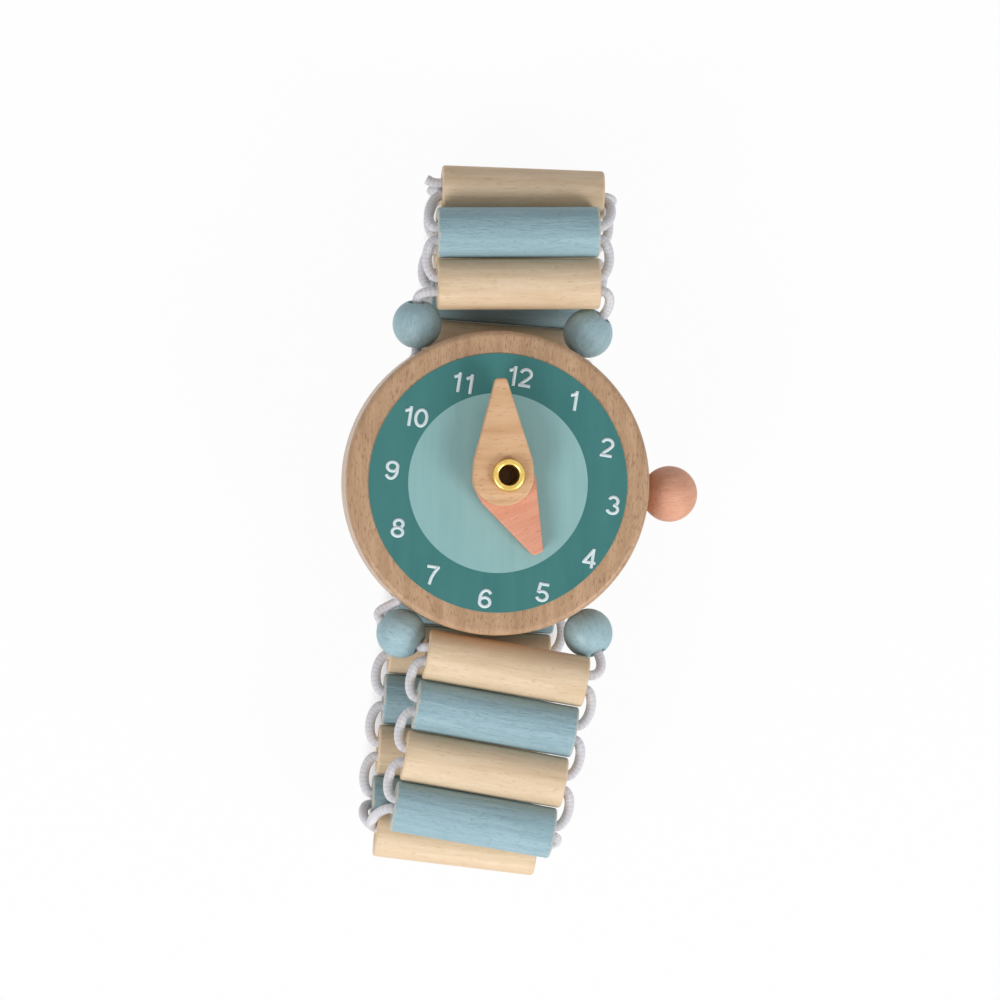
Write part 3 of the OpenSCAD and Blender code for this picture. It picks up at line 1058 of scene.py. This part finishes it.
    @staticmethod
    def slat_maker() -> Maker:
        """Build the Geometry Nodes tree of a turned slat.

        Returns:
            The tree.
        """
        edge_steps, sides, seed_step = 6, 72, (53.0, 17.0, 29.0)
        tree = Maker("turned_slat", "Length", "Radius", "Bore", "Edge", "Mouth", "Roll", "Turn", "Seed",
                     Centre="Vector")
        given = tree.given
        wall = tree.math("SUBTRACT", given["Radius"], given["Bore"])
        section = tree.out("GeometryNodeCurvePrimitiveQuadrilateral",
                           {"Width": wall, "Height": given["Length"]})
        spot = tree.out("GeometryNodeInputPosition")
        first_axis = tree.out("ShaderNodeSeparateXYZ", {0: spot})
        outer = tree.math("GREATER_THAN", first_axis, 0.0)
        more = tree.math("SUBTRACT", given["Edge"], given["Mouth"])
        rounding = tree.math("MULTIPLY_ADD", outer, more, given["Mouth"])
        rounded = tree.out("GeometryNodeFilletCurve",
                           {"Curve": section, "Count": edge_steps, "Radius": rounding}, mode="POLY")
        middle = tree.math("MULTIPLY_ADD", wall, 0.5, given["Bore"])
        ring = tree.out("GeometryNodeCurvePrimitiveCircle", {"Resolution": sides, "Radius": middle})
        upright = tree.out("GeometryNodeSetCurveNormal", {"Curve": ring}, mode="Z_UP")
        turned_wall = tree.out("GeometryNodeCurveToMesh", {"Curve": upright, "Profile Curve": rounded})

        def moved(geometry: NodeSocket, rotation: Any, shift: Any = (0.0, 0.0, 0.0)) -> NodeSocket:
            """Turn and shift geometry."""
            return tree.out("GeometryNodeTransform",
                            {"Geometry": geometry, "Translation": shift, "Rotation": rotation})

        lying = moved(turned_wall, (0.0, math.radians(90), 0.0))
        pattern = tree.vector("ADD", tree.scaled(spot, 1 / MM), tree.scaled(seed_step, given["Seed"]))
        grained = tree.keep(lying, "grain", pattern, "FLOAT_VECTOR")
        share = tree.math("DIVIDE", first_axis, tree.times(given["Length"], 0.5))
        spanned = tree.keep(grained, "span", share)
        rolled = moved(spanned, tree.out("ShaderNodeCombineXYZ", {0: given["Roll"]}))
        set_down = moved(rolled, tree.out("ShaderNodeCombineXYZ", {2: given["Turn"]}), given["Centre"])
        tree.close(tree.out("GeometryNodeSetShadeSmooth", {"Geometry": set_down}))
        return tree

    def build_slats(self, bare: Material, blue: Material) -> None:
        """Make the slats, bare and blue in turn.

        Args:
            bare: Finish of the odd slats.
            blue: Finish of the even slats.
        """
        maker = self.slat_maker()
        for k in range(1, self.count + 1):
            coat, slot = (bare, "plain_wood") if k % 2 else (blue, "blue_wood")
            name = self.slat_name(k)
            spread = self.length_spread * (math.sin(k * self.length_beat) - 1)
            mesh = maker.make(bpy.data.meshes.new(name), {
                "Length": (self.slat_length + spread) * MM, "Radius": self.slat_radius * MM,
                "Bore": self.bore_radius * MM, "Edge": self.edge * MM, "Mouth": self.mouth * MM,
                "Roll": math.radians(self.turn_round * k), "Turn": math.radians(self.row(k).value),
                "Seed": float(k), "Centre": tuple(self.centres[k] * MM), "Finish": coat})
            mesh.set_sharp_from_angle(angle=math.radians(self.sharp))
            finished(mesh, f"turned_{name}", coat, name, [name])

    def build_cords(self, cord: CordMaker) -> None:
        """Make the cord that goes with each slat.

        Args:
            cord: The maker of braided cord.
        """
        for k in range(1, self.count + 1):
            cord.make(f"braid_{k:02d}", self.runs(k), self.slat_name(k), f"cord_{k:02d}")


def turned(section: Sequence[Flat], sides: int) -> Mesh:
    """Turn a closed half section about the Z axis.

    Args:
        section: Points round the section as radius and height, in millimetres.
        sides: Faces round the axis.

    Returns:
        The mesh.
    """
    work = bmesh.new()
    rings = []
    for turn in (2 * math.pi * i / sides for i in range(sides)):
        across = Vector((math.cos(turn), math.sin(turn), 0.0))
        rings.append([work.verts.new((across * r + Vector((0.0, 0.0, z))) * MM) for r, z in section])
    for ring, following in zip(rings, rings[1:] + rings[:1]):
        for j in range(len(section)):
            work.faces.new((ring[j - 1], following[j - 1], following[j], ring[j]))
    bmesh.ops.recalc_face_normals(work, faces=work.faces)
    mesh = bpy.data.meshes.new("turned")
    work.to_mesh(mesh)
    work.free()
    mesh.shade_smooth()
    return mesh


@dataclass
class Bead:
    """A turned bead with a bore for the cord. Sizes in millimetres, angles in degrees."""

    node: str
    right: int
    up: int
    lean: float
    tilt: float = 13.0
    angle: float = 32.0
    reach: float = 23.35
    height: float = 13.5
    radius: float = 3.25
    bore: float = 1.05
    mouth: float = 0.25
    sides: int = 72
    lip_points: int = 9
    ball_points: int = 45
    grain_shift: Flat = (40.0, 25.0)

    def centre(self) -> np.ndarray:
        """Give the bead's middle.

        Returns:
            The point.
        """
        turn = math.radians(self.angle)
        flat = np.array([self.right * math.sin(turn), self.up * math.cos(turn), 0.0])
        return flat * self.reach + np.array([0.0, 0.0, self.height])

    def axis(self) -> np.ndarray:
        """Give the direction of the bore, away from the case.

        Returns:
            The unit direction.
        """
        lean, tilt = math.radians(self.lean), math.radians(self.tilt)
        flat = np.array([math.sin(lean), self.up * math.cos(lean), 0.0])
        return flat * math.cos(tilt) + np.array([0.0, 0.0, math.sin(tilt)])

    def section(self) -> List[Flat]:
        """Give the half section, with rounded mouths.

        Returns:
            Points round the section as radius and height.
        """
        mouth_r = self.bore + self.mouth
        mouth_z = math.sqrt((self.radius - self.mouth)**2 - mouth_r**2)
        tilt = math.atan2(mouth_z, mouth_r)
        lip = [(mouth_r + self.mouth * math.cos(t), mouth_z + self.mouth * math.sin(t))
               for t in np.linspace(math.pi, tilt, self.lip_points)]
        ball = [(self.radius * math.cos(t), self.radius * math.sin(t))
                for t in np.linspace(tilt, -tilt, self.ball_points)[1:-1]]
        return lip + ball + [(r, -z) for r, z in reversed(lip)]

    def build(self, finish: Material) -> None:
        """Make the bead.

        Args:
            finish: Its material.
        """
        mesh = turned(self.section(), self.sides)
        grain = mesh.attributes.new("grain", "FLOAT_VECTOR", "POINT")
        shift = Vector((self.grain_shift[0] * self.right, self.grain_shift[1] * self.up, 0.0))
        for row, point in zip(grain.data, mesh.vertices):
            row.vector = point.co.zxy / MM + shift
        span = mesh.attributes.new("span", "FLOAT", "POINT")
        for row, point in zip(span.data, mesh.vertices):
            row.value = point.co.z / MM / self.radius
        aim = Vector(self.axis()).to_track_quat("Z", "Y").to_matrix().to_4x4()
        mesh.transform(Matrix.Translation(Vector(self.centre()) * MM) @ aim)
        finished(mesh, f"turned_{self.node}", finish, self.node, [self.node])


@dataclass
class CaseCord:
    """The two runs of cord from slat to slat, through the beads and the case. Sizes in millimetres."""

    strap: Strap
    beads: Sequence[Bead]
    case_radius: float = 20.0
    hole_right: float = 10.9
    hole_top_left: float = 10.4
    hole_bottom_left: float = 12.8
    case_in: float = 2.0
    bead_in: float = 0.6
    pull_out: float = 1.7
    pull_far: float = 1.0
    pull_near: float = 0.25
    pull_back: float = 3.1
    pull_case: float = 0.85

    @staticmethod
    def bend(a: np.ndarray, b: np.ndarray, c: np.ndarray, d: np.ndarray,
             steps: int = 12) -> List[np.ndarray]:
        """Give points of a curve with two handles.

        Args:
            a: Its start.
            b: The start's handle.
            c: The end's handle.
            d: Its end.
            steps: Parts of the curve.

        Returns:
            Points along it.
        """
        shares = [i / steps for i in range(steps + 1)]
        return [a * (1 - t)**3 + b * 3 * t * (1 - t)**2 + c * 3 * t * t * (1 - t) + d * t**3
                for t in shares]

    def hole(self, right: int, up: int) -> np.ndarray:
        """Give the middle of a cord hole's mouth in the case's wall.

        Args:
            right: 1 on the crown side, -1 on the far side.
            up: 1 towards the twelve, -1 towards the six.

        Returns:
            The point.
        """
        x = self.hole_right if right > 0 else -self.hole_top_left if up > 0 else -self.hole_bottom_left
        return np.array([x, up * math.sqrt(self.case_radius**2 - x * x), self.beads[0].height])

    def half(self, bead: Bead) -> List[np.ndarray]:
        """Give one run's half, from a slat through a bead into the case.

        Args:
            bead: The bead that it goes through.

        Returns:
            Points of the cord.
        """
        right, up = bead.right, bead.up
        k, beyond = (1, 0) if up > 0 else (self.strap.count, self.strap.count + 1)
        out = self.strap.along(k) * right
        start = self.strap.mouth_at(k, beyond, right)
        axis, centre = bead.axis(), bead.centre()
        outer = centre + axis * bead.radius
        inner = centre - axis * (bead.radius - self.bead_in)
        hole = self.hole(right, up)
        way = self.hole(right, -up) - hole
        way = way / np.linalg.norm(way)
        pull = self.pull_out if right > 0 else self.pull_far if up > 0 else self.pull_near
        path = [start - out * self.strap.loop_in]
        path += self.bend(start, start + out * pull, outer + axis * pull, outer)
        if right < 0 and up < 0:
            path += self.bend(inner, inner - axis * self.pull_back, hole - way * self.pull_case, hole)
        else:
            path.append(inner)
        return path + [hole + way * self.case_in]

    def build(self, cord: CordMaker) -> None:
        """Make the piece.

        Args:
            cord: The maker of braided cord.
        """
        halves = {(bead.right, bead.up): self.half(bead) for bead in self.beads}
        runs = [halves[(right, 1)] + halves[(right, -1)][::-1] for right in (-1, 1)]
        cord.make("braid_through_case", runs, "case", "cord_through_case")


def arc(x: float, y: float, wide: float, tall: float, start: float, stop: float,
        steps: int = 0) -> List[Flat]:
    """Give points of an elliptic arc.

    Args:
        x: Middle of the ellipse.
        y: Middle of the ellipse.
        wide: Half width.
        tall: Half height.
        start: First angle in degrees.
        stop: Last angle in degrees.
        steps: Parts of the arc, or 0 for as many as its sweep needs.

    Returns:
        Points along the arc.
    """
    fewest, part = 6, 9.0
    steps = steps or max(fewest, round(abs(stop - start) / part))
    turns = [math.radians(start + (stop - start) * i / steps) for i in range(steps + 1)]
    return [(x + wide * math.cos(t), y + tall * math.sin(t)) for t in turns]


@dataclass
class Hand:
    """A flat hand with softened edges and a hole for the eyelet. Sizes in millimetres, angles in degrees."""

    node: str
    length: float
    heading: float
    slot: str
    axis_x: float = 1.1
    axis_y: float = 1.0
    thickness: float = 2.0
    radius: float = 4.0
    tip: float = 1.5
    tip_round: float = 0.3
    tip_cut: float = 0.3
    tip_flare: float = 0.06
    shoulder: Tuple[Flat, ...] = ((0.96, 0.5), (0.99, 0.25), (0.995, 0.1))
    round_from: float = -4.0
    round_to: float = -176.0
    round_steps: int = 48
    hole_shift: float = 0.65
    hole_radius: float = 1.75
    hole_steps: int = 56
    soften: float = 0.22
    soften_steps: int = 3
    sharp: float = 28.0
    grain_step: float = 7.0

    def outline(self) -> List[Flat]:
        """Give the hand's closed outline, clockwise from the tip's right corner.

        Returns:
            Points of the outline.
        """
        r, half, edge = self.radius, self.tip / 2, self.tip_round
        cut = edge * self.tip_cut
        right = [(half - edge, self.length), (half - cut, self.length - cut),
                 (half + self.tip_flare, self.length - edge), *((x * r, y * r) for x, y in self.shoulder)]
        bottom = arc(0.0, 0.0, r, r, self.round_from, self.round_to, self.round_steps)
        return right + bottom + [(-x, y) for x, y in reversed(right)] + right[:1]

    def build(self, finish: Material) -> None:
        """Make the hand.

        Args:
            finish: Its material.
        """
        hole = arc(self.hole_shift, 0.0, self.hole_radius, self.hole_radius, 0.0, 360.0, self.hole_steps)
        curve = lines_curve(self.node, [[(x, y, 0.0) for x, y in ring] for ring in (self.outline(), hole)])
        curve.dimensions = "2D"
        curve.fill_mode = "BOTH"
        curve.extrude = (self.thickness / 2 - self.soften) * MM
        curve.bevel_depth = self.soften * MM
        curve.bevel_resolution = self.soften_steps
        curve.offset = -self.soften * MM
        mesh = plain_mesh(placed(self.node, curve))
        grain = mesh.attributes.new("grain", "FLOAT_VECTOR", "POINT")
        for row, point in zip(grain.data, mesh.vertices):
            row.vector = point.co / MM + Vector((0.0, 0.0, self.length * self.grain_step))
        low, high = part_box(self.node)
        turn = Matrix.Rotation(math.radians(-self.heading), 4, "Z")
        shift = Matrix.Translation((-self.hole_shift * MM, 0.0, 0.0))
        place = Matrix.Translation((self.axis_x * MM, self.axis_y * MM, (low[2] + high[2]) / 2))
        mesh.transform(place @ turn @ shift)
        mesh.shade_smooth()
        mesh.set_sharp_from_angle(angle=math.radians(self.sharp))
        finished(mesh, f"cut_{self.node}", finish, self.node, [self.node])


@dataclass
class Eyelet:
    """A rolled brass eyelet that the hands turn on. Sizes in millimetres, angles in degrees."""

    axis_x: float = 1.1
    axis_y: float = 1.0
    tube_radius: float = 1.7
    bore_radius: float = 1.27
    roll_width: float = 0.44
    roll_height: float = 0.45
    roll_from: float = 190.0
    roll_to: float = -75.0
    roll_steps: int = 26
    waist: float = 0.02
    waist_drop: float = 1.2
    throat_drop: float = 0.5
    sides: int = 96
    sharp: float = 50.0

    def section(self, low: float, high: float) -> List[Flat]:
        """Give the eyelet's half section as radius and height.

        Args:
            low: Height of its foot.
            high: Height of its top.

        Returns:
            Points round the section.
        """
        bore, tube, middle = self.bore_radius, self.tube_radius, high - self.roll_height
        roll = arc(bore + self.roll_width, middle, self.roll_width, self.roll_height,
                   self.roll_from, self.roll_to, self.roll_steps)
        throat = [(bore, low), (bore - self.waist, middle - self.waist_drop),
                  (bore, middle - self.throat_drop)]
        return throat + roll + [(tube, middle - self.roll_height), (tube, low)]

    def build(self, finish: Material) -> None:
        """Make the eyelet.

        Args:
            finish: Its material.
        """
        low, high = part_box("hand_eyelet")
        mesh = turned(self.section(low[2] / MM, high[2] / MM), self.sides)
        mesh.transform(Matrix.Translation((self.axis_x * MM, self.axis_y * MM, 0.0)))
        mesh.set_sharp_from_angle(angle=math.radians(self.sharp))
        finished(mesh, "rolled_eyelet", finish, "case", ["hand_eyelet"])


@dataclass
class Dial:
    """Two printed rings and twelve numbers. Millimetres and degrees, digit widths in digit heights."""

    centre_x: float = 0.6
    centre_y: float = -0.6
    number_radius: float = 14.7
    turn: float = 9.0
    digit_height: float = 2.6
    digit_width: float = 0.74
    advance: float = 0.8
    one_advance: float = 0.62
    stroke: float = 0.43
    ink_height: float = 0.05
    ink_step: float = 0.006
    ink_layers: int = 4

    def strokes(self, digit: str) -> List[List[Flat]]:
        """Give a digit's middle lines in a box one high.

        Args:
            digit: The digit.

        Returns:
            Points of each line.
        """
        if digit == "9":
            return [[(self.digit_width - x, 1.0 - y) for x, y in line] for line in self.strokes("6")]
        shapes = {
            "0": [arc(0.37, 0.5, 0.275, 0.41, 90, 450)],
            "1": [[(0.42, 0.0), (0.42, 1.0)], [(0.42, 0.92), (0.33, 0.82), (0.14, 0.74)]],
            "2": [arc(0.37, 0.68, 0.265, 0.23, 172, -28) + [(0.47, 0.42), (0.24, 0.23), (0.13, 0.06)],
                  [(0.06, 0.09), (0.67, 0.09)]],
            "3": [arc(0.35, 0.705, 0.225, 0.205, 165, -80), arc(0.355, 0.295, 0.27, 0.21, 88, -165)],
            "4": [[(0.53, 0.0), (0.53, 0.99)], [(0.54, 0.95), (0.09, 0.27)], [(0.04, 0.29), (0.71, 0.29)]],
            "5": [[(0.64, 0.91), (0.15, 0.91)], [(0.2, 0.97), (0.135, 0.45)],
                  arc(0.355, 0.315, 0.27, 0.23, 140, -160)],
            "6": [arc(0.37, 0.315, 0.265, 0.23, 90, 450), arc(0.395, 0.5, 0.29, 0.415, 38, 205)],
            "7": [[(0.07, 0.91), (0.69, 0.91)], [(0.66, 0.95), (0.47, 0.64), (0.35, 0.34), (0.3, 0.0)]],
            "8": [arc(0.37, 0.715, 0.22, 0.195, 90, 450), arc(0.37, 0.295, 0.27, 0.21, 90, 450)],
        }
        return shapes[digit]

    @staticmethod
    def stroke_maker() -> Maker:
        """Build the Geometry Nodes tree that lays a flat stroke of ink along curves.

        Returns:
            The tree.
        """
        tree = Maker("printed_stroke", "Width", "Height")
        given = tree.given
        level = tree.out("GeometryNodeSetCurveNormal", {"Curve": given["Geometry"]}, mode="Z_UP")
        section = tree.out("GeometryNodeCurvePrimitiveQuadrilateral",
                           {"Width": given["Width"], "Height": given["Height"]})
        tree.close(tree.out("GeometryNodeCurveToMesh",
                            {"Curve": level, "Profile Curve": section, "Fill Caps": True}))
        return tree

    def number(self, hour: int) -> List[np.ndarray]:
        """Give one number's lines in its place on the dial.

        Args:
            hour: The hour.

        Returns:
            Points of each line, in millimetres.
        """
        lines, x = [], 0.0
        for digit in str(hour):
            lines += [[(x + u, v) for u, v in line] for line in self.strokes(digit)]
            x += self.one_advance if digit == "1" else self.advance
        reach = [u for line in lines for u, _ in line]
        middle = np.array([(min(reach) + max(reach)) / 2, 0.5])
        way, turn = math.radians(90 - 30 * hour - self.turn), math.radians(self.turn)
        centre = np.array([self.centre_x, self.centre_y])
        centre = centre + self.number_radius * np.array([math.cos(way), math.sin(way)])
        turned_back = np.array([[math.cos(turn), -math.sin(turn)], [math.sin(turn), math.cos(turn)]])
        return [centre + (np.array(line) - middle) * self.digit_height @ turned_back for line in lines]

    def build(self, dark: Material, pale: Material, white: Material) -> None:
        """Print the numbers and dress the rings.

        Args:
            dark: Finish of the outer ring.
            pale: Finish of the middle.
            white: Finish of the numbers.
        """
        dress("dial_ring", dark)
        dress("dial_middle", pale)
        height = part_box("dial_ring")[1][2] / MM + self.ink_height / 2
        lines = [line for hour in range(1, 13) for line in self.number(hour)]
        levels = [height + order % self.ink_layers * self.ink_step for order in range(len(lines))]
        curve = lines_curve("dial_numbers",
                            ([(*point, z) for point in line] for line, z in zip(lines, levels)))
        mesh = self.stroke_maker().make(curve, {
            "Width": self.stroke * MM, "Height": self.ink_height * MM, "Finish": white})
        finished(mesh, "dial_numbers", white, "case")


@dataclass
class Studio:
    """Floor, lamps, sky and camera. Metres, with the sensor in millimetres and the lean in degrees."""

    floor_size: float = 6.0
    floor_white: float = 0.9
    shadow_share: float = 0.05
    cover: float = 0.006
    cover_range: Flat = (0.3, 0.5)
    cover_samples: int = 8
    underside: float = 0.002
    sky: float = 0.42
    lamp_size: float = 0.36
    lamp_power: float = 2.5
    lamps: Tuple[Tuple[float, float, float], ...] = ((-0.42, -0.41, 0.44), (0.46, -0.37, 0.44))
    distance: float = 0.9
    farthest: float = 20.0
    lean: float = 4.0
    pixels_per_mm: float = 7.63
    image: int = 1000
    case_pixel: Flat = (498.0, 483.0)
    sensor: float = 36.0

    def camera(self) -> None:
        """Place the camera nearly straight above the dial."""
        pixel = MM / self.pixels_per_mm
        lens = bpy.data.cameras.new("camera")
        lens.sensor_width = self.sensor
        lens.lens = self.sensor * self.distance / (self.image * pixel)
        lens.clip_end = self.farthest
        middle = self.image / 2
        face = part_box("case")[1][2]
        aim = Vector(((middle - self.case_pixel[0]) * pixel, (self.case_pixel[1] - middle) * pixel, face))
        turn = Matrix.Rotation(math.radians(-self.lean), 4, "Y")
        eye = placed("camera", lens)
        eye.matrix_world = Matrix.Translation(aim) @ turn @ Matrix.Translation((0.0, 0.0, self.distance))
        bpy.context.scene.camera = eye

    def light(self) -> None:
        """Hang two soft lamps towards the six and set an even sky."""
        for number, spot in enumerate(self.lamps, 1):
            lamp = bpy.data.lights.new(f"soft_lamp_{number}", "AREA")
            lamp.shape = "DISK"
            lamp.size = self.lamp_size
            lamp.energy = self.lamp_power
            holder = placed(lamp.name, lamp)
            holder.location = spot
            holder.rotation_euler = (-Vector(spot)).to_track_quat("-Z", "Y").to_euler()
        world = bpy.data.worlds.new("studio")
        bpy.context.scene.world = world
        world.use_nodes = True
        world.node_tree.nodes.clear()
        tree = Tree(world.node_tree)
        strength = tree.ranged(self.seen(tree), 0.0, 1.0, self.sky, 1.0)
        sky = tree.out("ShaderNodeBackground", {"Color": (1.0, 1.0, 1.0), "Strength": strength})
        tree.node("ShaderNodeOutputWorld", {"Surface": sky})

    @staticmethod
    def seen(tree: Tree) -> NodeSocket:
        """Give 1 for rays from the camera, off a shine or through a clear body, and 0 for others.

        Args:
            tree: The tree to build in.

        Returns:
            The mask.
        """
        path = tree.node("ShaderNodeLightPath").outputs
        mirrored = tree.math("MAXIMUM", path["Is Glossy Ray"], path["Is Transmission Ray"])
        return tree.math("MAXIMUM", path["Is Camera Ray"], mirrored)

    def floor(self) -> None:
        """Lay a white floor that keeps a soft shadow and lets the open strap and the underside show."""
        work = bmesh.new()
        bmesh.ops.create_grid(work, x_segments=1, y_segments=1, size=self.floor_size / 2)
        mesh = bpy.data.meshes.new("floor")
        work.to_mesh(mesh)
        work.free()
        material = bpy.data.materials.new("white_floor")
        material.use_nodes = True
        material.node_tree.nodes.clear()
        tree = Tree(material.node_tree)
        matt = tree.out("ShaderNodeBsdfDiffuse", {"Color": (self.floor_white,) * 3})
        clear = tree.out("ShaderNodeBsdfTransparent")
        room = tree.node("ShaderNodeAmbientOcclusion", {"Distance": self.cover}, samples=self.cover_samples)
        uncovered = tree.ranged(room.outputs["AO"], *self.cover_range, 0.0, 1.0 - self.shadow_share)
        reach = tree.node("ShaderNodeLightPath").outputs["Ray Length"]
        share = tree.math("MAXIMUM", tree.times(self.seen(tree), uncovered),
                          tree.math("LESS_THAN", reach, self.underside))
        lit = tree.out("ShaderNodeMixShader", {0: share, 1: matt, 2: clear})
        below = tree.node("ShaderNodeNewGeometry").outputs["Backfacing"]
        both = tree.out("ShaderNodeMixShader", {0: below, 1: lit, 2: clear})
        tree.node("ShaderNodeOutputMaterial", {"Surface": both})
        mesh.materials.append(material)
        placed("floor", mesh)

    def build(self) -> None:
        """Set up the studio."""
        bpy.context.scene.view_settings.view_transform = "Standard"
        self.camera()
        self.light()
        self.floor()
        LOG.info("set up the studio")


def main() -> None:
    """Build and dress the watch, piece by piece."""
    logging.basicConfig(level=logging.INFO, format="%(message)s")
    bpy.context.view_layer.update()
    Studio().build()
    effects = SurfaceEffects()
    cord = CordMaker(CORD.material(effects))
    strap = Strap()
    beads = (Bead("bead_top_right", 1, 1, 40.0), Bead("bead_top_left", -1, 1, 0.0, angle=26.0),
             Bead("bead_bottom_left", -1, -1, 56.0), Bead("bead_bottom_right", 1, -1, 25.0))
    CaseCord(strap, beads).build(cord)
    strap.build_cords(cord)
    strap.build_slats(SLAT_WOOD.material(effects), BLUE_SLAT.material(effects))
    dress("case", CASE_WOOD.material(effects))
    Dial().build(DARK_INK.material(effects), PALE_INK.material(effects), WHITE_INK.material(effects))
    Hand("hour_hand", 11.0, 155.0, "coral_wood", hole_shift=-0.65).build(CORAL_HAND.material(effects))
    Hand("minute_hand", 12.7, -1.5, "plain_wood").build(HAND_WOOD.material(effects))
    Eyelet().build(BRASS.material(effects))
    dress("crown_ball", CORAL_BALL.material(effects))
    dress("crown_peg", CASE_WOOD.material(effects))
    blue = BLUE_BEAD.material(effects)
    for bead in beads:
        bead.build(blue)
    bpy.context.view_layer.update()


if __name__ == "__main__":
    main()
